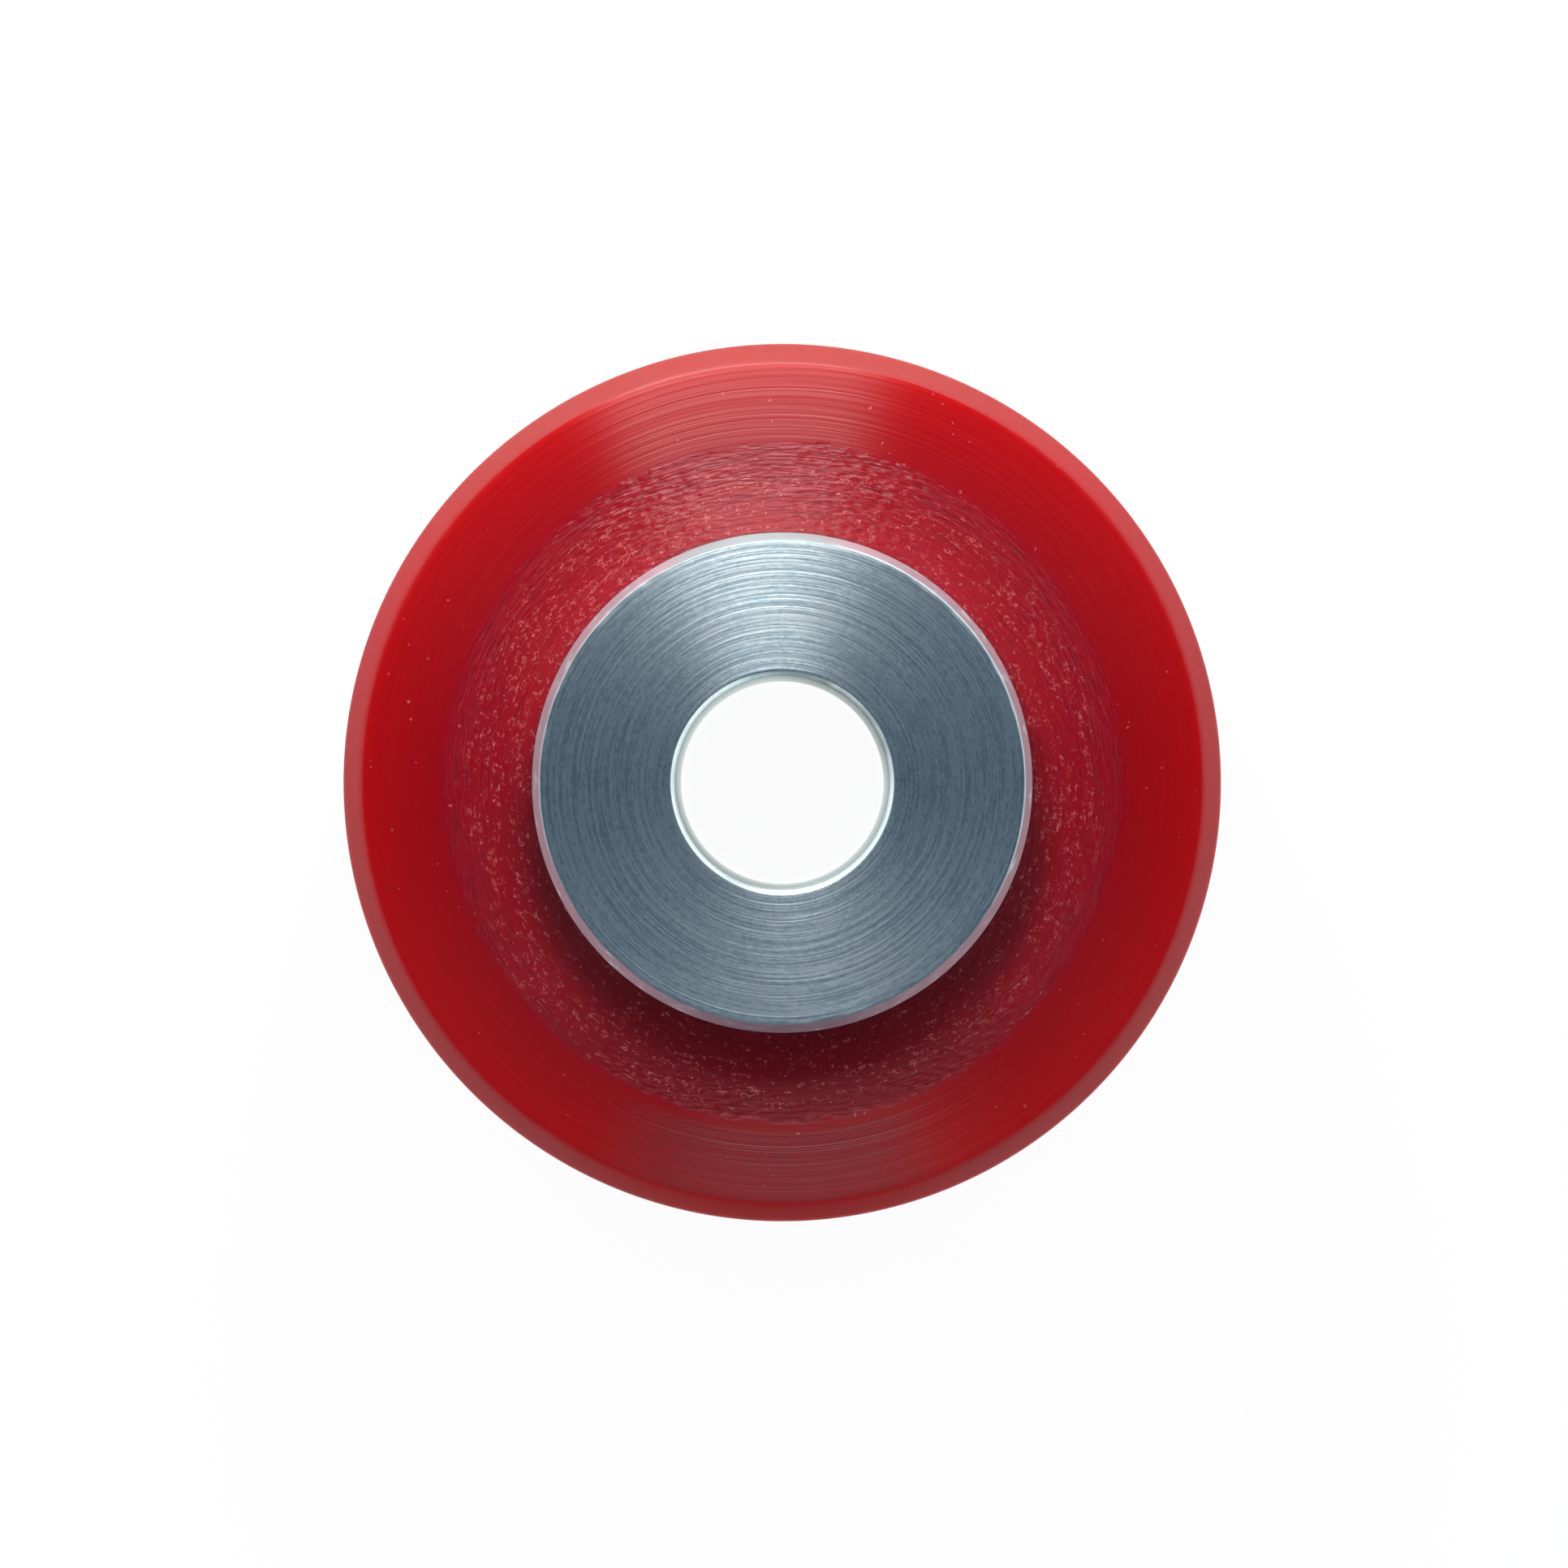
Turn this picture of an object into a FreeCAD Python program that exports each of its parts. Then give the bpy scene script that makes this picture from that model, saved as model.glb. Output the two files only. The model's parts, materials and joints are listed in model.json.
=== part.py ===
"""Rubber roller for mooring gear: a cast red tyre bonded on a turned aluminium hub.

The roller stands on one end of its hub, with its axis on +Z and the origin at the
middle of the lower hub face.  The hub is one length of thick tube, faced and bevelled
at both ends and bored for a plain 12 mm pin.  The tyre is cast round it, is shorter
than the hub, and leaves the same length of hub bare at each end.  All sizes are in
millimetres.
"""
import FreeCAD, Part
import Sketcher
import os

# Driving dimensions: alias, size and what it measures
DIMENSIONS = (
    ("tread_diameter", 50.0, "outside of the tyre"),
    ("hub_diameter", 28.4, "outside of the hub, which is the seat of the tyre"),
    ("bore_diameter", 12.1, "hole through the hub, a running fit on a 12 mm pin"),
    ("hub_length", 50.0, "hub from end face to end face"),
    ("hub_stand_out", 3.0, "bare hub at each end of the tyre"),
    ("rim_bevel", 1.0, "45 degree bevel round both rims of the tyre"),
    ("hub_edge_bevel", 0.45, "45 degree bevel round both ends of the hub"),
    ("bore_mouth_bevel", 0.3, "45 degree bevel in both mouths of the bore"),
)

SHEET = "Dimensions"

# How near an edge's diameter has to be to the one that is looked for
MATCH = 1e-4

# A sketch's own names: a line's two ends, the X axis and the origin point
START = 1
END = 2
X_AXIS = -1
SKETCH_ORIGIN = (-1, 1)


def add_sheet(doc):
    """Put every driving dimension in a row of its own: words, number and alias."""
    sheet = doc.addObject("Spreadsheet::Sheet", SHEET)
    for row, (alias, size, meaning) in enumerate(DIMENSIONS, start=1):
        sheet.set("A%d" % row, meaning)
        sheet.set("B%d" % row, str(size))
        sheet.setAlias("B%d" % row, alias)
    doc.recompute()
    return sheet


def add_body(doc, label):
    """One separate piece of the roller."""
    body = doc.addObject("PartDesign::Body", label)
    body.Label = label
    return body


def origin_feature(body, role):
    """The plane or axis of a piece's own origin that plays the given role."""
    for feature in body.Origin.OriginFeatures:
        if feature.Role == role:
            return feature
    raise RuntimeError("%s has no %s" % (body.Label, role))


def add_half_section(body, name, sizes):
    """Half section of a plain ring that stands on the piece's own XY plane.

    The section is a rectangle in the XZ plane, with its foot on the X axis and its
    sides at the two radii.  The sizes are expressions of the sheet's cells: the
    section is drawn at what they come to, and its constraints then follow them.
    """
    sketch = body.newObject("Sketcher::SketchObject", name)
    sketch.AttachmentSupport = [(origin_feature(body, "XZ_Plane"), "")]
    sketch.MapMode = "FlatFace"
    inner = sketch.evalExpression(sizes["inner_radius"])
    outer = sketch.evalExpression(sizes["outer_radius"])
    length = sketch.evalExpression(sizes["length"])
    corners = (
        FreeCAD.Vector(inner, 0, 0),
        FreeCAD.Vector(outer, 0, 0),
        FreeCAD.Vector(outer, length, 0),
        FreeCAD.Vector(inner, length, 0),
    )
    foot, outer_side, head, inner_side = range(len(corners))
    for side, start in enumerate(corners):
        end = corners[(side + 1) % len(corners)]
        sketch.addGeometry(Part.LineSegment(start, end), False)

    for side in range(len(corners)):
        following = (side + 1) % len(corners)
        joined = Sketcher.Constraint("Coincident", side, END, following, START)
        sketch.addConstraint(joined)
    sketch.addConstraint(Sketcher.Constraint("Horizontal", head))
    sketch.addConstraint(Sketcher.Constraint("Vertical", outer_side))
    sketch.addConstraint(Sketcher.Constraint("Vertical", inner_side))
    sketch.addConstraint(Sketcher.Constraint("PointOnObject", foot, START, X_AXIS))
    sketch.addConstraint(Sketcher.Constraint("PointOnObject", foot, END, X_AXIS))

    measured = (
        ("inner_radius", "DistanceX", foot, START, inner),
        ("outer_radius", "DistanceX", foot, END, outer),
        ("length", "DistanceY", head, START, length),
    )
    for label, kind, line, point, value in measured:
        constraint = Sketcher.Constraint(kind, *SKETCH_ORIGIN, line, point, value)
        index = sketch.addConstraint(constraint)
        sketch.renameConstraint(index, label)
        sketch.setExpression("Constraints." + label, sizes[label])
    return sketch


def add_turned_ring(doc, body, name, **sizes):
    """Turn a half section once round the piece's Z axis."""
    sketch = add_half_section(body, name + "Section", sizes)
    ring = body.newObject("PartDesign::Revolution", name)
    ring.Profile = sketch
    ring.ReferenceAxis = (sketch, ["V_Axis"])
    ring.Angle = 360
    doc.recompute()
    return ring


def end_circles(feature, diameter):
    """Names of a turned feature's full circles of the given diameter."""
    names = []
    for number, edge in enumerate(feature.Shape.Edges, start=1):
        curve = edge.Curve
        if isinstance(curve, Part.Circle) and abs(2 * curve.Radius - diameter) < MATCH:
            names.append("Edge%d" % number)
    if len(names) != 2:
        raise RuntimeError("%s has %d circles of %g mm" % (feature.Label, len(names), diameter))
    return names


def add_bevel(doc, body, name, base, diameter, alias):
    """Bevel both end circles of one diameter, by the size that the alias names."""
    bevel = body.newObject("PartDesign::Chamfer", name)
    bevel.Base = (base, end_circles(base, diameter))
    bevel.setExpression("Size", "%s.%s" % (SHEET, alias))
    doc.recompute()
    return bevel


def add_aluminium_hub(doc, sheet):
    """Thick tube, faced square, with its outer edges and bore mouths bevelled."""
    body = add_body(doc, "aluminium_hub")
    tube = add_turned_ring(
        doc,
        body,
        "HubTube",
        inner_radius="Dimensions.bore_diameter / 2",
        outer_radius="Dimensions.hub_diameter / 2",
        length="Dimensions.hub_length",
    )
    edges = add_bevel(doc, body, "HubEdgeBevel", tube, sheet.hub_diameter, "hub_edge_bevel")
    mouths = add_bevel(doc, body, "BoreMouthBevel", edges, sheet.bore_diameter, "bore_mouth_bevel")
    body.Tip = mouths
    return body


def add_rubber_tyre(doc, sheet):
    """Cast ring that fills the space from the hub to the tread, with bevelled rims."""
    body = add_body(doc, "rubber_tyre")
    ring = add_turned_ring(
        doc,
        body,
        "TyreRing",
        inner_radius="Dimensions.hub_diameter / 2",
        outer_radius="Dimensions.tread_diameter / 2",
        length="Dimensions.hub_length - 2 * Dimensions.hub_stand_out",
    )
    rims = add_bevel(doc, body, "RimBevel", ring, sheet.tread_diameter, "rim_bevel")
    body.Tip = rims
    body.setExpression(".Placement.Base.z", "Dimensions.hub_stand_out")
    return body


def check_document(doc, bodies):
    """Stop if a feature failed, or if a piece is not one sound solid."""
    for thing in doc.Objects:
        if "Invalid" in thing.State or "Error" in thing.State:
            raise RuntimeError("%s failed: %s" % (thing.Label, thing.State))
    for body in bodies:
        shape = body.Shape
        if shape.isNull() or not shape.isValid() or len(shape.Solids) != 1:
            raise RuntimeError("%s is not one sound solid" % body.Label)


def main():
    doc = FreeCAD.newDocument("RubberRoller")
    sheet = add_sheet(doc)
    bodies = [add_aluminium_hub(doc, sheet), add_rubber_tyre(doc, sheet)]
    doc.recompute()
    check_document(doc, bodies)

    os.makedirs("parts", exist_ok=True)
    for body in bodies:
        body.Shape.exportStep("parts/%s.step" % body.Label)
        print("%s: %.1f mm3" % (body.Label, body.Shape.Volume))


main()
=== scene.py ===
"""Looks of a small rubber roller for mooring gear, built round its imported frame.

Two pieces are modelled and finished: the red tyre, with its turned end faces, the band
that the tool tore next to the hub, its matt rim bevels and its tread, and the faced and
bored aluminium hub.  Lengths are in metres, and the roller stands on end with its axis
on +Z.  Patterns are worked out in turned coordinates, in millimetres: the direction
round the axis, and the way along the section.
"""

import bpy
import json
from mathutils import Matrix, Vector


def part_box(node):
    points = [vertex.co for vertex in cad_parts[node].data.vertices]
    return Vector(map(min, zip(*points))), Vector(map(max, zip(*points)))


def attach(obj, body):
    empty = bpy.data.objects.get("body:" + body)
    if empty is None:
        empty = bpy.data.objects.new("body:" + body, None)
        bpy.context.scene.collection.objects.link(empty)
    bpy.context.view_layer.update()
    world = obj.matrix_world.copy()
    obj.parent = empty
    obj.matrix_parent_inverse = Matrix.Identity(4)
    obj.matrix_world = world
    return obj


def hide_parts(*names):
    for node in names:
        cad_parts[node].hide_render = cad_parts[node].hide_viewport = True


bl_info = {
    "name": "Rubber Roller",
    "version": (1, 0, 0),
    "blender": (4, 5, 0),
    "location": "View3D > Sidebar > Roller",
    "description": "Models and finishes a rubber roller on a turned aluminium hub",
    "category": "Object",
}

import json
import math

import bmesh
import bpy
from bpy.props import FloatProperty, FloatVectorProperty, IntProperty, PointerProperty

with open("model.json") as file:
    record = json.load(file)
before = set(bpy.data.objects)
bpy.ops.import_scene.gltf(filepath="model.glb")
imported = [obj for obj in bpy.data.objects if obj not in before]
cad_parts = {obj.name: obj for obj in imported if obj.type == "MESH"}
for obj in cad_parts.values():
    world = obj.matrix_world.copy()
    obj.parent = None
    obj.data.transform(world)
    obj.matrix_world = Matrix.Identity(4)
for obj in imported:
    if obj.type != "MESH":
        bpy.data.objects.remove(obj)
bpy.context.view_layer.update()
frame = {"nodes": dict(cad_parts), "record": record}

MM = 0.001
TOUCH = 1e-6
TYRE_LOW, TYRE_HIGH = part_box("rubber_tyre")
HUB_LOW, HUB_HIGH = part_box("aluminium_hub")
MIDDLE = (HUB_LOW.z + HUB_HIGH.z) / 2
BORE = next(m for m in frame["record"]["mounts"] if m["name"] == "bore")
BORE_RADIUS = BORE["dims"]["r_mm"] * MM
BORE_WALL = BORE["dims"]["length_mm"] * MM


def face_radius(node, height):
    """Largest radius that a CAD node reaches at the given height."""
    corners = frame["nodes"][node].data.vertices
    return max(c.co.xy.length for c in corners if abs(c.co.z - height) < TOUCH)


class TyreSettings(bpy.types.PropertyGroup):
    """Sizes and colours of the red tyre."""

    tread_radius: FloatProperty(
        name="Tread radius",
        description="Outside of the tyre",
        default=TYRE_HIGH.x,
        unit="LENGTH",
    )
    seat_radius: FloatProperty(
        name="Seat radius",
        description="Inside of the tyre, where it is bonded to the hub",
        default=HUB_HIGH.x,
        unit="LENGTH",
    )
    rim_bevel: FloatProperty(
        name="Rim bevel",
        description="Bevel round both rims",
        default=TYRE_HIGH.x - face_radius("rubber_tyre", TYRE_HIGH.z),
        unit="LENGTH",
    )
    edge_round: FloatProperty(
        name="Edge rounding",
        description="How far the bevel's two edges are rounded off",
        default=0.25 * MM,
        unit="LENGTH",
    )
    torn_radius: FloatProperty(
        name="Torn band radius",
        description="Outer limit of the band that the tool tore",
        default=19.45 * MM,
        unit="LENGTH",
    )
    torn_depth: FloatProperty(
        name="Torn depth",
        description="Height from the pits to the crests of the torn band",
        default=0.02 * MM,
        unit="LENGTH",
    )
    steps_round: IntProperty(
        name="Steps round",
        description="Faces in one turn",
        default=480,
        min=32,
    )
    red: FloatVectorProperty(
        name="Red",
        description="Cast rubber where it was turned clean",
        subtype="COLOR",
        default=(0.45, 0.0, 0.004),
    )
    # Painted glow: a brighter red near the rim, standing in for light that comes through the rubber from the
    # side.
    rim_glow_red: FloatVectorProperty(
        name="Rim red",
        description="The same rubber near the rim, where light comes through from the side",
        subtype="COLOR",
        default=(0.58, 0.0, 0.001),
    )
    torn_red: FloatVectorProperty(
        name="Torn red",
        description="Rubber in the pits of the torn band",
        subtype="COLOR",
        default=(0.43, 0.0, 0.012),
    )
    fleck_pink: FloatVectorProperty(
        name="Fleck pink",
        description="Frayed specks in the torn band",
        subtype="COLOR",
        default=(0.68, 0.15, 0.14),
    )
    # Painted sheen and shade: a paler, darker red for the clean face on the near side, where the dim highlight
    # wedge falls.
    near_sheen_red: FloatVectorProperty(
        name="Dusted red",
        description="Clean face on the near side, where fine dust lies on it",
        subtype="COLOR",
        default=(0.31, 0.038, 0.040),
    )
    # On the rim bevels this pink is partly the matt finish and partly painted sheen; on the tread it colours the
    # scuffs.
    matt_pink: FloatVectorProperty(
        name="Matt pink",
        description="Rim bevels, which the cut left matt",
        subtype="COLOR",
        default=(0.55, 0.030, 0.034),
    )
    # Painted sheen: a paler pink for the rim bevels on the far side, toward the softbox.
    top_sheen_pink: FloatVectorProperty(
        name="Pale pink",
        description="Rim bevels on the far side, where they are the most matt",
        subtype="COLOR",
        default=(0.44, 0.055, 0.045),
    )


class HubSettings(bpy.types.PropertyGroup):
    """Sizes and colours of the aluminium hub."""

    hub_radius: FloatProperty(
        name="Hub radius",
        description="Outside of the hub",
        default=HUB_HIGH.x,
        unit="LENGTH",
    )
    bore_radius: FloatProperty(
        name="Bore radius",
        description="Wall of the bore",
        default=BORE_RADIUS,
        unit="LENGTH",
    )
    edge_bevel: FloatProperty(
        name="Edge bevel",
        description="Bevel round both ends",
        default=HUB_HIGH.x - face_radius("aluminium_hub", HUB_HIGH.z),
        unit="LENGTH",
    )
    mouth_bevel: FloatProperty(
        name="Mouth bevel",
        description="Bevel in both mouths of the bore",
        default=(HUB_HIGH.z - HUB_LOW.z - BORE_WALL) / 2,
        unit="LENGTH",
    )
    edge_round: FloatProperty(
        name="Edge rounding",
        description="How far the edges of the bevels are rounded off",
        default=0.05 * MM,
        unit="LENGTH",
    )
    steps_round: IntProperty(
        name="Steps round",
        description="Faces in one turn",
        default=360,
        min=32,
    )
    metal: FloatVectorProperty(
        name="Metal",
        description="Bright turned aluminium",
        subtype="COLOR",
        default=(0.82, 0.93, 0.92),
    )
    # Painted reflection: a pink standing in for the red tyre mirrored in the outer bevel.
    reflected_red_tint: FloatVectorProperty(
        name="Edge tint",
        description="Outer bevel, with a trace of red left on the metal",
        subtype="COLOR",
        default=(0.56, 0.37, 0.41),
    )


class StageSettings(bpy.types.PropertyGroup):
    """Camera, floor and light."""

    camera_height: FloatProperty(
        name="Camera height",
        description="Camera above the floor, straight over the roller",
        default=0.969,
        unit="LENGTH",
    )
    frame_width: FloatProperty(
        name="Frame width",
        description="What the picture spans at the height of the rim",
        default=89.3 * MM,
        unit="LENGTH",
    )
    softbox_level: FloatProperty(
        name="Softbox level",
        description="Radiance of the softbox over the far side",
        default=10.6,
    )
    tent_level: FloatProperty(
        name="Tent level",
        description="Brightness of the tent's wall on the softbox's side",
        default=0.5,
    )
    horizon_level: FloatProperty(
        name="Horizon level",
        description="Brightness of the tent low round the roller",
        default=2.3,
    )


class Graph:
    """Adds nodes to a tree and wires them, for finishes and for relief alike."""

    def __init__(self, tree):
        self.tree = tree

    def node(self, kind, inputs=None, **settings):
        made = self.tree.nodes.new(kind)
        for name, value in settings.items():
            setattr(made, name, value)
        for key, value in (inputs or {}).items():
            if isinstance(value, bpy.types.NodeSocket):
                self.tree.links.new(value, made.inputs[key])
            else:
                made.inputs[key].default_value = value
        return made

    def math(self, operation, *values):
        inputs = dict(enumerate(values))
        return self.node("ShaderNodeMath", inputs, operation=operation).outputs[0]

    def vector(self, operation, *values, out="Vector"):
        inputs = dict(enumerate(values))
        return self.node("ShaderNodeVectorMath", inputs, operation=operation).outputs[out]

    def ramp(self, value, low, high, to_low=0.0, to_high=1.0):
        """Smooth step from low to high."""
        inputs = {0: value, 1: low, 2: high, 3: to_low, 4: to_high}
        made = self.node("ShaderNodeMapRange", inputs, interpolation_type="SMOOTHSTEP")
        return made.outputs[0]

    def blend(self, share, first, second):
        """First colour at share 0, second at share 1."""
        made = self.node("ShaderNodeMix", data_type="RGBA")
        for socket, value in zip((made.inputs[0], made.inputs[6], made.inputs[7]), (share, first, second)):
            if isinstance(value, bpy.types.NodeSocket):
                self.tree.links.new(value, socket)
            else:
                socket.default_value = value
        return made.outputs[2]

    def noise(self, vector, scale=1.0, detail=2.0, roughness=0.5):
        inputs = {"Vector": vector, "Scale": scale, "Detail": detail, "Roughness": roughness}
        return self.node("ShaderNodeTexNoise", inputs).outputs[0]


class Turned:
    """Turned coordinates of a point, in millimetres, from its position in metres."""

    def __init__(self, graph, position):
        self.graph = graph
        flat = graph.vector("MULTIPLY", position, (1 / MM, 1 / MM, 0.0))
        self.radius = graph.vector("LENGTH", flat, out="Value")
        self.direction = graph.vector("NORMALIZE", flat)
        split = graph.node("ShaderNodeSeparateXYZ", {0: position})
        above = graph.math("SUBTRACT", split.outputs[2], MIDDLE)
        height = graph.math("DIVIDE", above, MM)
        self.end = graph.math("SIGN", height)
        self.along = graph.math("SUBTRACT", self.radius, graph.math("ABSOLUTE", height))

    def noise(self, round_count, per_mm, seed, detail=2.0, roughness=0.5):
        """Noise with round_count features in a radian and per_mm along the section."""
        graph = self.graph
        ring = graph.vector("SCALE", self.direction)
        ring.node.inputs["Scale"].default_value = round_count
        way = graph.math("MULTIPLY", self.along, per_mm)
        other_end = graph.math("MULTIPLY_ADD", self.end, 7.3, seed)
        third = graph.math("ADD", way, other_end)
        lift = graph.node("ShaderNodeCombineXYZ", {0: 0.37, 1: 0.61, 2: third}).outputs[0]
        spot = graph.vector("ADD", ring, lift)
        return graph.noise(spot, detail=detail, roughness=roughness)

    def groove(self, radius, width):
        """A rounded groove round the axis: 1 at its bottom, 0 beyond its width."""
        away = self.graph.math("ABSOLUTE", self.graph.math("SUBTRACT", self.radius, radius))
        return self.graph.ramp(away, 0.0, width, 1.0, 0.0)

    def facing(self, azimuth):
        """Cosine of the angle round the axis from the given azimuth, in degrees."""
        angle = math.radians(azimuth)
        way = (math.cos(angle), math.sin(angle), 0.0)
        return self.graph.vector("DOT_PRODUCT", self.direction, way, out="Value")

    def tangent(self):
        """Direction round the axis, which the tool marks follow."""
        return self.graph.vector("CROSS_PRODUCT", (0.0, 0.0, 1.0), self.direction)


def deselect_all():
    bpy.ops.object.select_all(action="DESELECT")


def start_section(name, inner, outer, foot, head):
    """A ring's half section, as a rectangle in the XZ plane, left in edit mode."""
    deselect_all()
    bpy.ops.mesh.primitive_plane_add(size=1.0, rotation=(math.pi / 2, 0.0, 0.0))
    piece = bpy.context.object
    piece.name = name
    piece.scale = (outer - inner, head - foot, 1.0)
    piece.location = ((inner + outer) / 2, 0.0, (foot + head) / 2)
    bpy.ops.object.transform_apply(location=True, rotation=True, scale=True)
    bpy.ops.object.mode_set(mode="EDIT")
    bpy.ops.mesh.select_mode(type="VERT")
    return piece


def pick_corners(piece, test):
    """Select the corners of the mesh being edited that pass the test."""
    mesh = bmesh.from_edit_mesh(piece.data)
    for corner in mesh.verts:
        corner.select_set(test(corner.co))
    mesh.select_flush(False)
    bmesh.update_edit_mesh(piece.data)


def pick_edges(piece, test):
    """Select the edges whose both corners pass the test, and nothing else."""
    bpy.ops.mesh.select_all(action="DESELECT")
    bpy.ops.mesh.select_mode(type="EDGE")
    mesh = bmesh.from_edit_mesh(piece.data)
    for edge in mesh.edges:
        edge.select_set(all(test(corner.co) for corner in edge.verts))
    bmesh.update_edit_mesh(piece.data)


def bevel_corners(piece, test, size, rounding):
    """Bevel the section's corners that pass the test and round the bevels' own corners."""
    pick_corners(piece, test)
    bpy.ops.mesh.bevel(offset=size, offset_type="ABSOLUTE", segments=1, affect="VERTICES")
    bpy.ops.mesh.bevel(offset=rounding, offset_type="ABSOLUTE", segments=3, affect="VERTICES")


def divide(piece, test, cuts):
    pick_edges(piece, test)
    bpy.ops.mesh.subdivide(number_cuts=cuts)


def turn_section(piece, steps):
    """Turn the section's outline once round the axis and close it into a solid."""
    bpy.ops.mesh.select_all(action="SELECT")
    bpy.ops.mesh.spin(steps=steps, angle=2 * math.pi, center=(0, 0, 0), axis=(0, 0, 1))
    bpy.ops.mesh.select_all(action="SELECT")
    bpy.ops.mesh.remove_doubles(threshold=TOUCH / 10)
    bpy.ops.mesh.normals_make_consistent(inside=False)
    bpy.ops.object.mode_set(mode="OBJECT")
    bpy.ops.object.shade_smooth()


def add_relief(piece, name, height):
    """Move the surface along its normal by what height works out, in millimetres."""
    tree = bpy.data.node_groups.new(name, "GeometryNodeTree")
    tree.interface.new_socket("Geometry", in_out="INPUT", socket_type="NodeSocketGeometry")
    tree.interface.new_socket("Geometry", in_out="OUTPUT", socket_type="NodeSocketGeometry")
    graph = Graph(tree)
    source = graph.node("NodeGroupInput")
    position = graph.node("GeometryNodeInputPosition").outputs[0]
    normal = graph.node("GeometryNodeInputNormal").outputs[0]
    lift = graph.math("MULTIPLY", height(graph, Turned(graph, position)), MM)
    offset = graph.vector("SCALE", normal)
    tree.links.new(lift, offset.node.inputs["Scale"])
    moved = graph.node("GeometryNodeSetPosition", {"Geometry": source.outputs[0], "Offset": offset})
    graph.node("NodeGroupOutput", {0: moved.outputs[0]})
    modifier = piece.modifiers.new(name, "NODES")
    modifier.node_group = tree
    bpy.ops.object.modifier_apply(modifier=name)


def new_finish(name, **sockets):
    """A material with one Principled shader, its even values on the shader's sockets."""
    material = bpy.data.materials.new(name)
    material.use_nodes = True
    tree = material.node_tree
    shader = next(n for n in tree.nodes if n.type == "BSDF_PRINCIPLED")
    for socket, value in sockets.items():
        shader.inputs[socket.replace("_", " ")].default_value = value
    graph = Graph(tree)
    position = graph.node("ShaderNodeTexCoord").outputs["Object"]
    return material, graph, shader, Turned(graph, position)


def bump(graph, height_mm, normal=None):
    """Surface normal of a height in millimetres."""
    inputs = {"Height": graph.math("MULTIPLY", height_mm, MM), "Strength": 1.0, "Distance": 1.0}
    if normal is not None:
        inputs["Normal"] = normal
    return graph.node("ShaderNodeBump", inputs).outputs[0]


def paint(shader, graph, **outputs):
    """Wire worked-out values to the shader's sockets."""
    for socket, output in outputs.items():
        graph.tree.links.new(output, shader.inputs[socket.replace("_", " ")])


# The red tyre


def torn_share(graph, turned, sizes):
    """1 in the torn band, 0 on the clean face outside it, with a ragged border."""
    ragged = turned.noise(22, 1.5, 3.0, detail=3)
    limit = graph.math("MULTIPLY_ADD", ragged, 1.4, sizes.torn_radius / MM - 0.85)
    past = graph.math("SUBTRACT", turned.radius, limit)
    return graph.ramp(past, -0.3, 0.1, 1.0, 0.0)


def tyre_relief(sizes):
    """Height of the tears and of the turning passes, in millimetres."""

    def height(graph, turned):
        share = torn_share(graph, turned, sizes)
        tears = graph.ramp(turned.noise(8, 2.0, 11.0, detail=1), 0.3, 0.7)
        torn = graph.math("MULTIPLY", graph.math("SUBTRACT", tears, 1.0), share)
        torn = graph.math("MULTIPLY", torn, sizes.torn_depth / MM)
        passes = turned.noise(0.6, 1.1, 5.0, detail=1)
        waves = graph.math("MULTIPLY", graph.math("SUBTRACT", passes, 1.0), 0.012)
        return graph.math("ADD", torn, waves)

    return height


def new_rubber(name, **sockets):
    """A finish of the cast rubber, into which light sinks a little."""
    return new_finish(
        name,
        Subsurface_Weight=1.0,
        Subsurface_Radius=(1.0, 0.02, 0.03),
        Subsurface_Scale=2.0 * MM,
        **sockets,
    )


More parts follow.
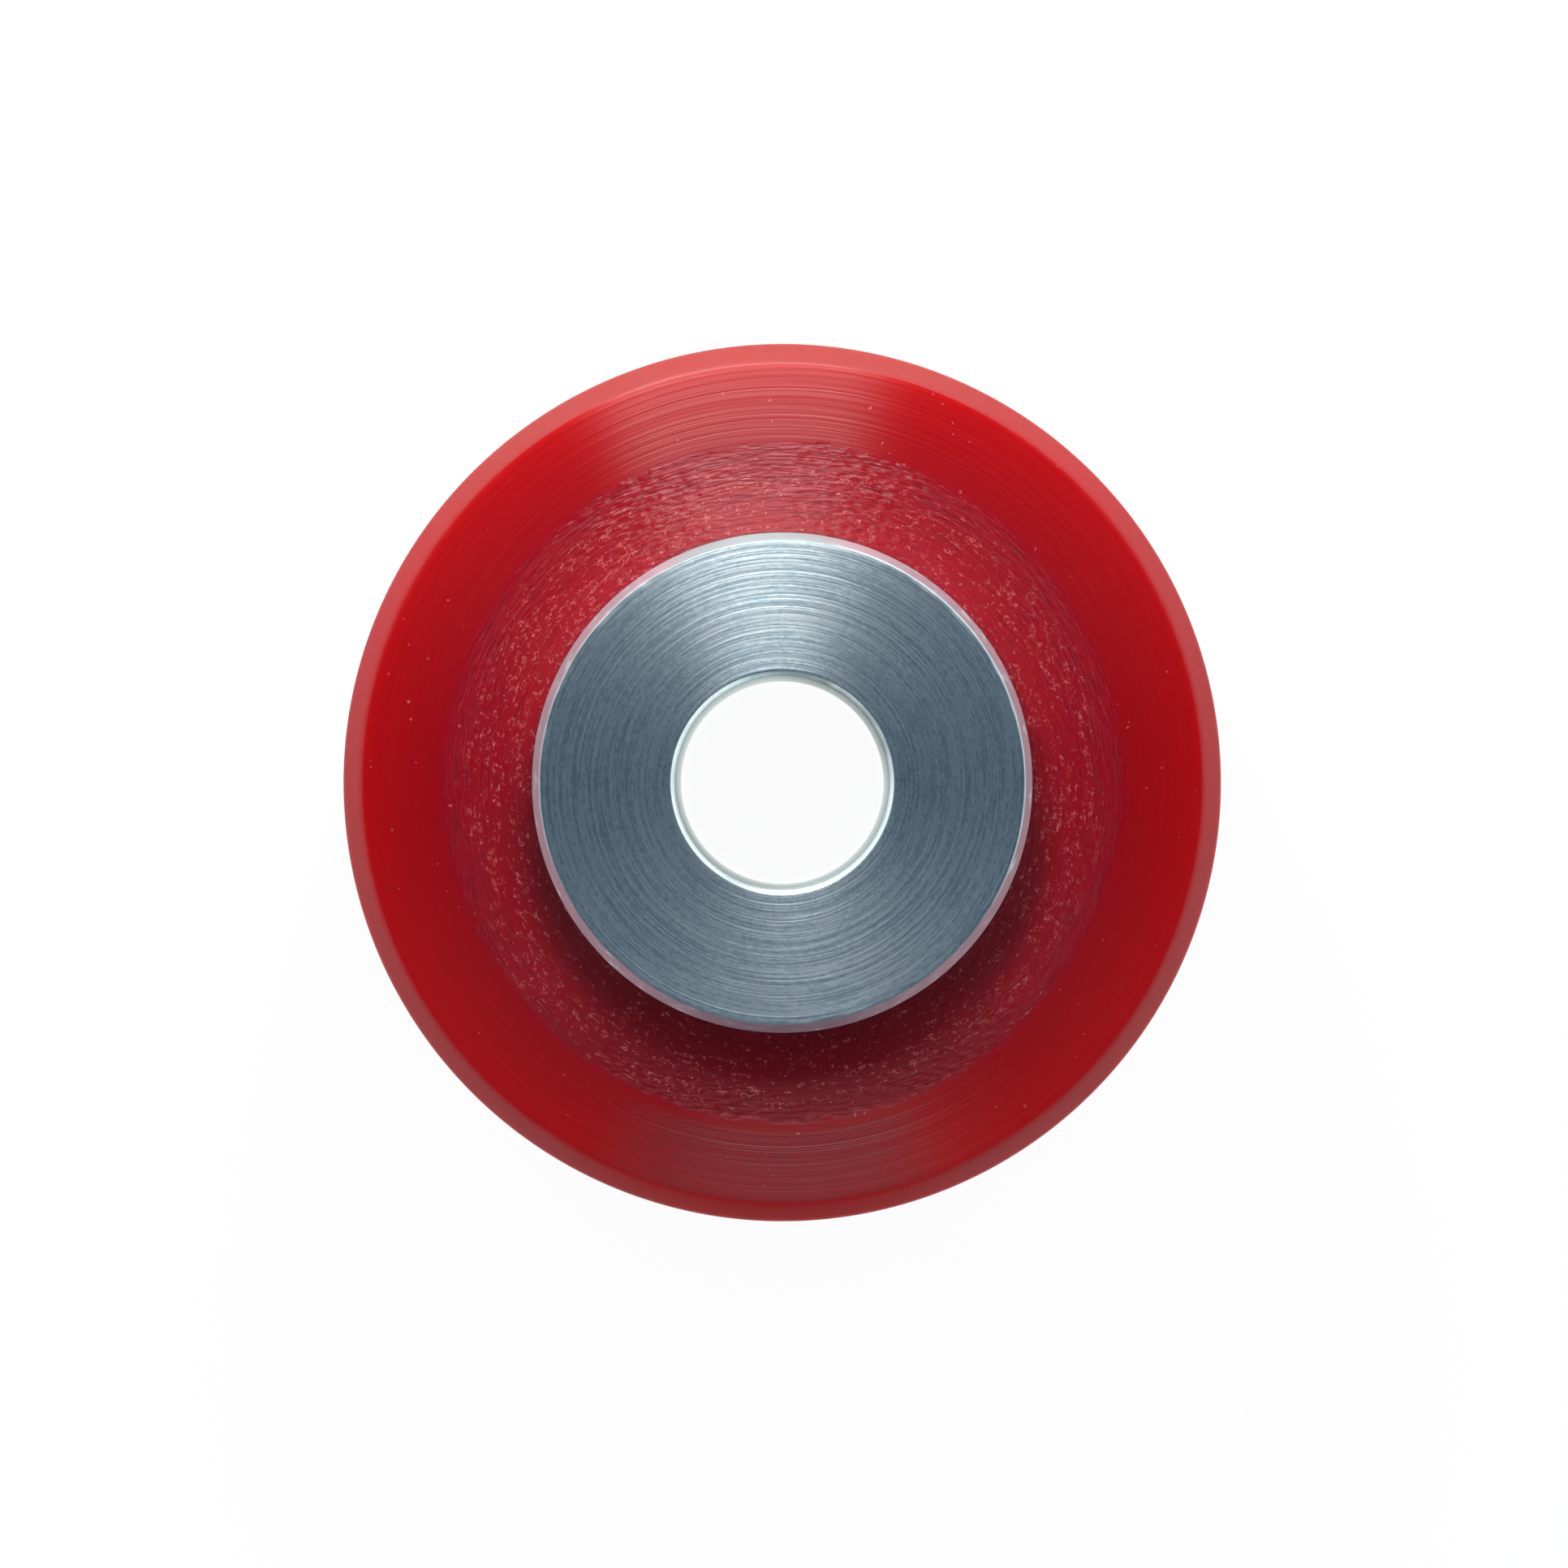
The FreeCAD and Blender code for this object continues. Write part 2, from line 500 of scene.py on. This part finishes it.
def face_finish(sizes):
    """Cast rubber turned across its end face, clean outside and torn inside."""
    material, graph, shader, turned = new_rubber(
        "turned_face",
        Specular_IOR_Level=0.57,
        Anisotropic=1.0,
        Anisotropic_Rotation=0.25,
    )
    share = torn_share(graph, turned, sizes)
    edge = sizes.torn_radius / MM
    rim = (sizes.tread_radius - sizes.rim_bevel) / MM
    # Painted glow: the red brightens toward the rim, for light coming through the rubber from the side.
    red = graph.blend(graph.ramp(turned.radius, edge - 0.8, rim + 0.6), (*sizes.red, 1.0), (*sizes.rim_glow_red, 1.0))
    crimson = graph.ramp(turned.radius, edge - 0.05, edge + 0.05, 1.0, 0.0)
    streaks = turned.noise(3.0, 4.0, 29.0, detail=3)
    crimson = graph.math("MULTIPLY", crimson, graph.ramp(streaks, 0.3, 0.6, 0.65, 1.0))
    red = graph.blend(crimson, red, (*sizes.torn_red, 1.0))

    grain = graph.ramp(turned.noise(110, 5.0, 51.0, detail=2), 0.35, 0.65, 0.4, 0.75)
    # Painted sheen and shade: on the near side the clean face is painted a paler, darker red in a grain, for the
    # dim highlight wedge there.
    near_sheen = graph.ramp(turned.facing(268.0), 0.88, 0.98)
    near_sheen = graph.math("MULTIPLY", near_sheen, graph.ramp(turned.radius, edge, edge + 0.8))
    red = graph.blend(graph.math("MULTIPLY", near_sheen, grain), red, (*sizes.near_sheen_red, 1.0))

    threads = graph.math("SUBTRACT", turned.noise(58, 5.2, 23.0, detail=1), 0.5)
    threads = graph.ramp(graph.math("ABSOLUTE", threads), 0.015, 0.08, 1.0, 0.0)
    clumps = turned.noise(36, 3.6, 27.0, detail=2, roughness=0.65)
    patches = graph.ramp(turned.noise(5, 3.0, 17.0, detail=2), 0.40, 0.60)
    near_hub = graph.ramp(turned.radius, sizes.seat_radius / MM + 0.2, edge - 2.0, 1.0, 0.0)
    least = graph.math("MULTIPLY_ADD", patches, -0.09, 0.575)
    near_side = graph.ramp(turned.facing(262.0), -0.2, 0.5)
    far_side = graph.ramp(turned.facing(93.0), 0.85, 0.97)
    far_side = graph.math("MAXIMUM", far_side, graph.ramp(turned.facing(50.0), 0.45, 0.85, 0.0, 0.8))
    fewer = graph.math("MULTIPLY_ADD", near_side, 0.09, -0.03)
    fewer = graph.math("MULTIPLY_ADD", far_side, 0.08, fewer)
    least = graph.math("MULTIPLY_ADD", near_hub, fewer, least)
    flecks = graph.ramp(graph.math("SUBTRACT", clumps, least), 0.0, 0.08)
    flecks = graph.math("MULTIPLY", flecks, threads)
    frayed = graph.math("MULTIPLY_ADD", patches, 0.5, turned.radius)
    frayed = graph.math("ADD", frayed, graph.ramp(turned.facing(238.0), 0.75, 0.95, 0.0, -0.9))
    frayed = graph.ramp(frayed, edge - 1.4, edge - 0.5, 1.0, 0.0)
    flecks = graph.math("MULTIPLY", flecks, graph.math("MULTIPLY", share, frayed))
    dust = graph.ramp(turned.noise(75, 3.4, 47.0, detail=0), 0.83, 0.87)
    pale = graph.math("MAXIMUM", flecks, dust)
    # Painted shadow of the hub: on the near side the red is darkened next to the hub and across the torn band;
    # the band there is also rougher.
    shaded = graph.math("MULTIPLY", graph.ramp(turned.facing(270.0), 0.6, 0.95), share)
    painted_hub_shadow = graph.math("MULTIPLY", graph.math("MULTIPLY", near_hub, near_side), 0.5)
    painted_hub_shadow = graph.math("MAXIMUM", painted_hub_shadow, graph.math("MULTIPLY", shaded, 0.35))
    red = graph.blend(painted_hub_shadow, red, (*(0.35 * part for part in sizes.torn_red), 1.0))
    colour = graph.blend(pale, red, (*sizes.fleck_pink, 1.0))
    outer_half = graph.ramp(turned.radius, edge - 3.0, edge - 1.2)
    cracks = graph.math("MULTIPLY_ADD", outer_half, 0.06, turned.noise(7.0, 6.0, 43.0, detail=1))
    cracks = graph.math("MULTIPLY", graph.ramp(cracks, 0.60, 0.70), share)
    # Painted shade in the cracks: they are coloured a darker red.
    colour = graph.blend(cracks, colour, (*(0.8 * part for part in sizes.torn_red), 1.0))

    passes = turned.noise(0.9, 2.6, 31.0, detail=1)
    long_lines = turned.noise(1.1, 4.5, 37.0, detail=1)
    marks = graph.math("MULTIPLY_ADD", passes, 0.03, graph.math("MULTIPLY", long_lines, 0.024))
    for radius in (20.2, 20.7, 21.0, 22.46):
        marks = graph.math("MULTIPLY_ADD", turned.groove(radius, 0.07), -0.008, marks)
    long_tears = turned.noise(16, 5.2, 41.0, detail=2, roughness=0.6)
    short_tears = turned.noise(28, 6.5, 45.0, detail=0)
    torn = graph.math("MULTIPLY_ADD", long_tears, 1.4, graph.math("SUBTRACT", short_tears, 1.1))
    torn = graph.math("MULTIPLY_ADD", cracks, -0.3, torn)
    torn = graph.math("MULTIPLY", torn, graph.math("MULTIPLY_ADD", outer_half, 0.03, 0.06))
    height = graph.math("MULTIPLY_ADD", torn, share, marks)
    roughness = graph.math("MULTIPLY_ADD", share, 0.045, 0.276)
    roughness = graph.math("MULTIPLY_ADD", shaded, 0.25, roughness)
    roughness = graph.math("MULTIPLY_ADD", near_hub, 0.12, roughness)
    paint(
        shader,
        graph,
        Base_Color=colour,
        Roughness=roughness,
        Normal=bump(graph, height),
        Tangent=turned.tangent(),
    )
    return material


def rim_finish(sizes):
    """The same rubber, left matt by the bevelling cut, with painted sheen in its pink."""
    material, graph, shader, turned = new_rubber("bevelled_rim")
    grain = turned.noise(130, 5.0, 41.0, detail=2)
    # Painted sheen: the pink is partly the bevel's matt finish and partly light it catches; it is left off on
    # the near side, where no light falls, and paler on the far side, toward the softbox.
    sheen_share = graph.ramp(grain, 0.3, 0.7, 0.6, 1.0)
    sheen_share = graph.math("MULTIPLY", sheen_share, graph.ramp(turned.facing(267.0), 0.86, 0.97, 1.0, 0.15))
    pale = graph.ramp(turned.facing(98.0), 0.6, 0.95)
    pink = graph.blend(pale, (*sizes.matt_pink, 1.0), (*sizes.top_sheen_pink, 1.0))
    colour = graph.blend(sheen_share, (*sizes.rim_glow_red, 1.0), pink)
    roughness = graph.math("MULTIPLY_ADD", grain, 0.1, 0.45)
    paint(
        shader,
        graph,
        Base_Color=colour,
        Roughness=roughness,
        Normal=bump(graph, graph.math("MULTIPLY", grain, 0.02)),
    )
    return material


def tread_finish(sizes):
    """The same rubber, turned along its outside."""
    material, graph, shader, turned = new_rubber("turned_tread", Anisotropic=0.6, Anisotropic_Rotation=0.25)
    lines = turned.noise(1.5, 4.0, 53.0, detail=3, roughness=0.6)
    scuffs = turned.noise(12, 0.8, 61.0, detail=4, roughness=0.6)
    scuffed = graph.ramp(scuffs, 0.45, 0.75, 0.0, 0.45)
    colour = graph.blend(scuffed, (*sizes.red, 1.0), (*sizes.matt_pink, 1.0))
    roughness = graph.math("MULTIPLY_ADD", scuffs, 0.2, 0.32)
    paint(
        shader,
        graph,
        Base_Color=colour,
        Roughness=roughness,
        Normal=bump(graph, graph.math("MULTIPLY", lines, 0.045)),
        Tangent=turned.tangent(),
    )
    return material


class ROLLER_OT_red_tyre(bpy.types.Operator):
    """Turn the red tyre, tear the band next to the hub and finish its surfaces"""

    bl_idname = "roller.red_tyre"
    bl_label = "Red Tyre"
    bl_options = {"REGISTER", "UNDO"}

    def execute(self, context):
        sizes = context.scene.roller_tyre
        foot, head = TYRE_LOW.z, TYRE_HIGH.z
        inner, outer = sizes.seat_radius, sizes.tread_radius
        bevel = sizes.rim_bevel
        tyre = start_section("red_tyre", inner, outer, foot, head)
        bevel_corners(tyre, lambda at: at.x > outer - TOUCH, bevel, sizes.edge_round)
        bpy.ops.mesh.select_all(action="SELECT")
        bpy.ops.mesh.delete(type="ONLY_FACE")
        split = sizes.torn_radius + 0.2 * MM
        bpy.ops.mesh.select_all(action="SELECT")
        bpy.ops.mesh.bisect(plane_co=(split, 0.0, 0.0), plane_no=(1.0, 0.0, 0.0))
        for low, high in ((foot - TOUCH, foot + TOUCH), (head - TOUCH, head + TOUCH)):
            divide(tyre, lambda at: low < at.z < high and at.x < split + TOUCH, 48)
            divide(tyre, lambda at: low < at.z < high and at.x > split - TOUCH, 16)
        divide(tyre, lambda at: at.x > outer - TOUCH, 28)
        turn_section(tyre, sizes.steps_round)
        add_relief(tyre, "torn_and_turned", tyre_relief(sizes))

        for finish in (face_finish(sizes), rim_finish(sizes), tread_finish(sizes)):
            tyre.data.materials.append(finish)
        for face in tyre.data.polygons:
            level = abs(face.normal.z)
            bevelled = face.center.xy.length > outer - bevel - sizes.edge_round
            face.material_index = 1 if bevelled and 0.2 < level < 0.97 else (0 if level > 0.5 else 2)
        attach(tyre, "root")
        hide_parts("rubber_tyre")
        return {"FINISHED"}


# The aluminium hub


def hub_relief(sizes):
    """Height of the facing passes and of the uneven lip of the bevel, in millimetres."""
    lip_radius = (sizes.hub_radius - sizes.edge_bevel) / MM

    def height(graph, turned):
        passes = turned.noise(0.5, 1.6, 71.0, detail=2)
        waves = graph.math("MULTIPLY", graph.math("SUBTRACT", passes, 1.0), 0.006)
        lip = graph.math("ABSOLUTE", graph.math("SUBTRACT", turned.radius, lip_radius))
        lip = graph.ramp(lip, 0.06, 0.12, 1.0, 0.0)
        dents = graph.ramp(turned.noise(7.0, 0.1, 79.0, detail=2), 0.4, 0.65, 0.0, -0.04)
        dents = graph.math("MULTIPLY", dents, graph.ramp(turned.facing(92.0), 0.8, 0.95, 1.0, 0.0))
        return graph.math("MULTIPLY_ADD", lip, dents, waves)

    return height


def face_metal_finish(sizes):
    """Bright aluminium with the marks of the facing cut."""
    material, graph, shader, turned = new_finish(
        "turned_aluminium",
        Metallic=1.0,
        Anisotropic=0.66,
        Anisotropic_Rotation=0.25,
    )
    long_lines = turned.noise(0.6, 7.0, 83.0, detail=1)
    passes = turned.noise(0.9, 2.6, 85.0, detail=1)
    scratches = turned.noise(4.0, 8.0, 89.0, detail=1)
    grain = turned.noise(30, 8.5, 101.0, detail=2, roughness=0.6)
    smudges = turned.noise(5.0, 0.7, 97.0, detail=5, roughness=0.65)
    dull = graph.ramp(smudges, 0.38, 0.68)
    marks = graph.math("MULTIPLY_ADD", long_lines, 2.2, graph.math("MULTIPLY", scratches, 1.7))
    marks = graph.math("MULTIPLY_ADD", grain, 2.6, marks)
    marks = graph.math("MULTIPLY_ADD", dull, 0.8, marks)
    bright = (*(1.03 * part for part in sizes.metal), 1.0)
    shaded = (*(share * part for share, part in zip((0.56, 0.63, 0.69), sizes.metal)), 1.0)
    colour = graph.blend(graph.ramp(marks, 2.8, 4.5), bright, shaded)
    roughness = graph.math("MULTIPLY_ADD", dull, 0.04, 0.33)
    height = graph.math("MULTIPLY_ADD", long_lines, 0.017, graph.math("MULTIPLY", passes, 0.012))
    paint(
        shader,
        graph,
        Base_Color=colour,
        Roughness=roughness,
        Normal=bump(graph, height),
        Tangent=turned.tangent(),
    )
    return material


def edge_metal_finish(sizes):
    """The outer bevels, rougher, with a painted reflection of the red tyre in blotches, a painted glint on the
    lip and painted shade on the far side.
    """
    material, graph, shader, turned = new_finish(
        "bevelled_aluminium",
        Metallic=1.0,
        Anisotropic=0.72,
        Anisotropic_Rotation=0.25,
    )
    blotches = turned.noise(14, 3.0, 107.0, detail=3)
    bright = (*sizes.metal, 1.0)
    lip_radius = (sizes.hub_radius - sizes.edge_bevel) / MM
    lip = graph.ramp(turned.radius, lip_radius + 0.02, lip_radius + 0.12, 1.0, 0.0)
    # Painted glint: on the right and left the bevel's lip is kept bright metal, for the thin highlight along the
    # edge.
    right = graph.ramp(turned.facing(25.0), 0.45, 0.8)
    left = graph.ramp(turned.facing(160.0), 0.7, 0.85, 0.0, 0.55)
    lip_glint = graph.math("MULTIPLY", lip, graph.math("MAXIMUM", right, left))
    # Painted reflection: blotches of pink stand in for the red tyre mirrored in the bevel.
    painted_red_reflection = graph.math("MULTIPLY", graph.ramp(blotches, 0.15, 0.45), graph.math("SUBTRACT", 1.0, lip_glint))
    colour = graph.blend(painted_red_reflection, bright, (*sizes.reflected_red_tint, 1.0))
    # Painted shade: on the far side, toward the softbox, the bevel is darkened to dim its highlight; no pink is
    # laid there either.
    clean = graph.ramp(turned.facing(97.0), 0.9, 0.99, 0.0, 0.9)
    colour = graph.blend(clean, colour, (*(0.4 * part for part in sizes.metal), 1.0))
    roughness = graph.math("MULTIPLY_ADD", blotches, 0.1, 0.52)
    paint(
        shader,
        graph,
        Base_Color=colour,
        Roughness=roughness,
        Normal=bump(graph, graph.math("MULTIPLY", blotches, 0.02)),
        Tangent=turned.tangent(),
    )
    return material


def bore_metal_finish(sizes):
    """The bored wall and its mouths, smoother than the end faces."""
    material, graph, shader, turned = new_finish(
        "bored_aluminium",
        Metallic=1.0,
        Anisotropic=0.85,
        Anisotropic_Rotation=0.25,
    )
    lines = turned.noise(2.0, 5.0, 113.0, detail=3)
    bright = (*sizes.metal, 1.0)
    shaded = (*(0.8 * part for part in sizes.metal), 1.0)
    # The bore is painted darker toward azimuth 48°, the upper right, along its lines.
    darker_upper_right = graph.ramp(turned.facing(48.0), 0.6, 0.95, 0.0, 0.85)
    darker_upper_right = graph.math("MULTIPLY", darker_upper_right, graph.ramp(lines, 0.2, 0.5))
    bright = graph.blend(darker_upper_right, bright, (*(0.25 * part for part in sizes.metal), 1.0))
    paint(
        shader,
        graph,
        Base_Color=graph.blend(graph.ramp(lines, 0.4, 0.7), bright, shaded),
        Roughness=graph.math("MULTIPLY_ADD", lines, 0.1, 0.23),
        Normal=bump(graph, graph.math("MULTIPLY", lines, 0.01)),
        Tangent=turned.tangent(),
    )
    return material


class ROLLER_OT_aluminium_hub(bpy.types.Operator):
    """Turn the aluminium hub and finish it with concentric tool marks"""

    bl_idname = "roller.aluminium_hub"
    bl_label = "Aluminium Hub"
    bl_options = {"REGISTER", "UNDO"}

    def execute(self, context):
        sizes = context.scene.roller_hub
        foot, head = HUB_LOW.z, HUB_HIGH.z
        inner, outer = sizes.bore_radius, sizes.hub_radius
        hub = start_section("turned_hub", inner, outer, foot, head)
        middle = (inner + outer) / 2
        bevel_corners(hub, lambda at: at.x > middle, sizes.edge_bevel, sizes.edge_round)
        bevel_corners(hub, lambda at: at.x < middle, sizes.mouth_bevel, sizes.edge_round)
        bpy.ops.mesh.select_all(action="SELECT")
        bpy.ops.mesh.delete(type="ONLY_FACE")
        divide(hub, lambda at: at.z > head - TOUCH, 72)
        divide(hub, lambda at: at.z < foot + TOUCH, 72)
        divide(hub, lambda at: at.x < inner + TOUCH, 24)
        turn_section(hub, sizes.steps_round)
        add_relief(hub, "facing_passes", hub_relief(sizes))
        for finish in (face_metal_finish(sizes), edge_metal_finish(sizes), bore_metal_finish(sizes)):
            hub.data.materials.append(finish)
        for face in hub.data.polygons:
            radius = face.center.xy.length
            if radius < inner + sizes.mouth_bevel:
                face.material_index = 2
            elif radius > outer - sizes.edge_bevel - sizes.edge_round and abs(face.normal.z) < 0.97:
                face.material_index = 1 if abs(face.normal.z) > 0.2 else 0
        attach(hub, "root")
        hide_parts("aluminium_hub")
        return {"FINISHED"}


# Floor, light and camera


def floor_finish():
    """Pale floor that the camera sees white, apart from the roller's soft shadow."""
    material = bpy.data.materials.new("pale_floor")
    material.use_nodes = True
    graph = Graph(material.node_tree)
    material.node_tree.nodes.clear()
    diffuse = graph.node("ShaderNodeBsdfDiffuse", {"Color": (0.8, 0.8, 0.8, 1.0)})
    seen = graph.node("ShaderNodeBsdfDiffuse", {"Color": (0.15, 0.15, 0.15, 1.0)})
    white = graph.node("ShaderNodeEmission", {"Color": (1.0, 1.0, 1.0, 1.0), "Strength": 0.94})
    lit = graph.node("ShaderNodeAddShader", {0: seen.outputs[0], 1: white.outputs[0]})
    path = graph.node("ShaderNodeLightPath")
    direct = graph.math("MAXIMUM", path.outputs["Is Camera Ray"], path.outputs["Is Glossy Ray"])
    direct = graph.math("MAXIMUM", direct, path.outputs["Is Transmission Ray"])
    above = graph.node("ShaderNodeMixShader", {0: direct, 1: diffuse.outputs[0], 2: lit.outputs[0]})
    clear = graph.node("ShaderNodeBsdfTransparent")
    below = graph.node("ShaderNodeNewGeometry").outputs["Backfacing"]
    surface = graph.node("ShaderNodeMixShader", {0: below, 1: above.outputs[0], 2: clear.outputs[0]})
    graph.node("ShaderNodeOutputMaterial", {0: surface.outputs[0]})
    return material


def tent_light(sizes):
    """World light of a tent: bright and low all round, pale walls, dark and cool overhead."""
    world = bpy.data.worlds.new("light_tent")
    bpy.context.scene.world = world
    world.use_nodes = True
    graph = Graph(world.node_tree)
    world.node_tree.nodes.clear()
    direction = graph.node("ShaderNodeTexCoord").outputs["Generated"]
    up = graph.node("ShaderNodeSeparateXYZ", {0: direction}).outputs[2]
    level = graph.vector("NORMALIZE", graph.vector("MULTIPLY", direction, (1.0, 1.0, 0.0)))
    side = graph.node("ShaderNodeSeparateXYZ", {0: level}).outputs[1]
    horizon = graph.ramp(side, -1.0, -0.85, 0.15 * sizes.horizon_level, sizes.horizon_level)
    horizon = graph.math("MULTIPLY", horizon, graph.ramp(up, 0.0, 0.58, 1.0, 0.0))
    walls = graph.ramp(side, 0.1, 0.6, 0.0, sizes.tent_level)
    walls = graph.math("MULTIPLY", walls, graph.ramp(up, 0.75, 1.0, 1.0, 0.0))
    around = graph.math("ADD", horizon, walls)
    white = graph.node("ShaderNodeCombineColor", {0: around, 1: around, 2: around}).outputs[0]
    colour = graph.vector("ADD", white, (0.037, 0.068, 0.114))
    back = graph.node("ShaderNodeBackground", {"Color": colour, "Strength": 1.0})
    graph.node("ShaderNodeOutputWorld", {0: back.outputs[0]})


def add_softbox(name, target, azimuth, elevation, distance, size, radiance):
    """A rectangular softbox that faces the target, by its angles and its radiance."""
    light = bpy.data.lights.new(name, "AREA")
    light.shape = "RECTANGLE"
    light.size, light.size_y = size
    light.energy = radiance * math.pi * size[0] * size[1]
    softbox = bpy.data.objects.new(name, light)
    bpy.context.scene.collection.objects.link(softbox)
    level = math.cos(elevation)
    way = (level * math.cos(azimuth), level * math.sin(azimuth), math.sin(elevation))
    softbox.location = [at + distance * part for at, part in zip(target, way)]
    softbox.rotation_euler = (math.pi / 2 - elevation, 0.0, azimuth + math.pi / 2)
    softbox.visible_camera = False
    return softbox


class ROLLER_OT_stage(bpy.types.Operator):
    """Lay the floor, hang the lights and set the camera over the roller"""

    bl_idname = "roller.stage"
    bl_label = "Floor, Light and Camera"
    bl_options = {"REGISTER", "UNDO"}

    def execute(self, context):
        scene = context.scene
        sizes = scene.roller_stage
        deselect_all()
        bpy.ops.mesh.primitive_plane_add(size=8.0, location=(0.0, 0.0, HUB_LOW.z))
        floor = bpy.context.object
        floor.name = "floor"
        bpy.ops.object.transform_apply(location=True, rotation=True, scale=True)
        floor.data.materials.append(floor_finish())

        tent_light(sizes)
        add_softbox(
            "softbox",
            target=(0.0, 0.0, TYRE_HIGH.z),
            azimuth=math.radians(96.2),
            elevation=math.radians(44.2),
            distance=0.068,
            size=(0.0322, 0.028),
            radiance=sizes.softbox_level,
        )

        camera = bpy.data.objects.new("camera", bpy.data.cameras.new("camera"))
        scene.collection.objects.link(camera)
        camera.location = (0.10 * MM, -0.08 * MM, sizes.camera_height)
        reach = sizes.camera_height - (TYRE_HIGH.z - scene.roller_tyre.rim_bevel)
        camera.data.sensor_width = 36.0
        camera.data.lens = camera.data.sensor_width * reach / sizes.frame_width
        camera.data.clip_start, camera.data.clip_end = 0.01, 20.0
        scene.camera = camera

        scene.view_settings.view_transform = "Standard"
        return {"FINISHED"}


class ROLLER_PT_parts(bpy.types.Panel):
    """Lists the roller's operators and their settings"""

    bl_idname = "ROLLER_PT_parts"
    bl_label = "Rubber Roller"
    bl_space_type = "VIEW_3D"
    bl_region_type = "UI"
    bl_category = "Roller"

    def draw(self, context):
        for operator, settings in STEPS:
            box = self.layout.box()
            box.operator(operator.bl_idname)
            group = getattr(context.scene, settings)
            for name in group.bl_rna.properties.keys():
                if name not in ("rna_type", "name"):
                    box.prop(group, name)


SETTINGS = {
    "roller_tyre": TyreSettings,
    "roller_hub": HubSettings,
    "roller_stage": StageSettings,
}
STEPS = (
    (ROLLER_OT_red_tyre, "roller_tyre"),
    (ROLLER_OT_aluminium_hub, "roller_hub"),
    (ROLLER_OT_stage, "roller_stage"),
)
CLASSES = (*SETTINGS.values(), *(operator for operator, _ in STEPS), ROLLER_PT_parts)


def register():
    for cls in CLASSES:
        bpy.utils.register_class(cls)
    for name, group in SETTINGS.items():
        setattr(bpy.types.Scene, name, PointerProperty(type=group))


def unregister():
    for name in SETTINGS:
        delattr(bpy.types.Scene, name)
    for cls in reversed(CLASSES):
        bpy.utils.unregister_class(cls)


def main():
    register()
    bpy.ops.roller.red_tyre()
    bpy.ops.roller.aluminium_hub()
    bpy.ops.roller.stage()


if __name__ == "__main__":
    main()
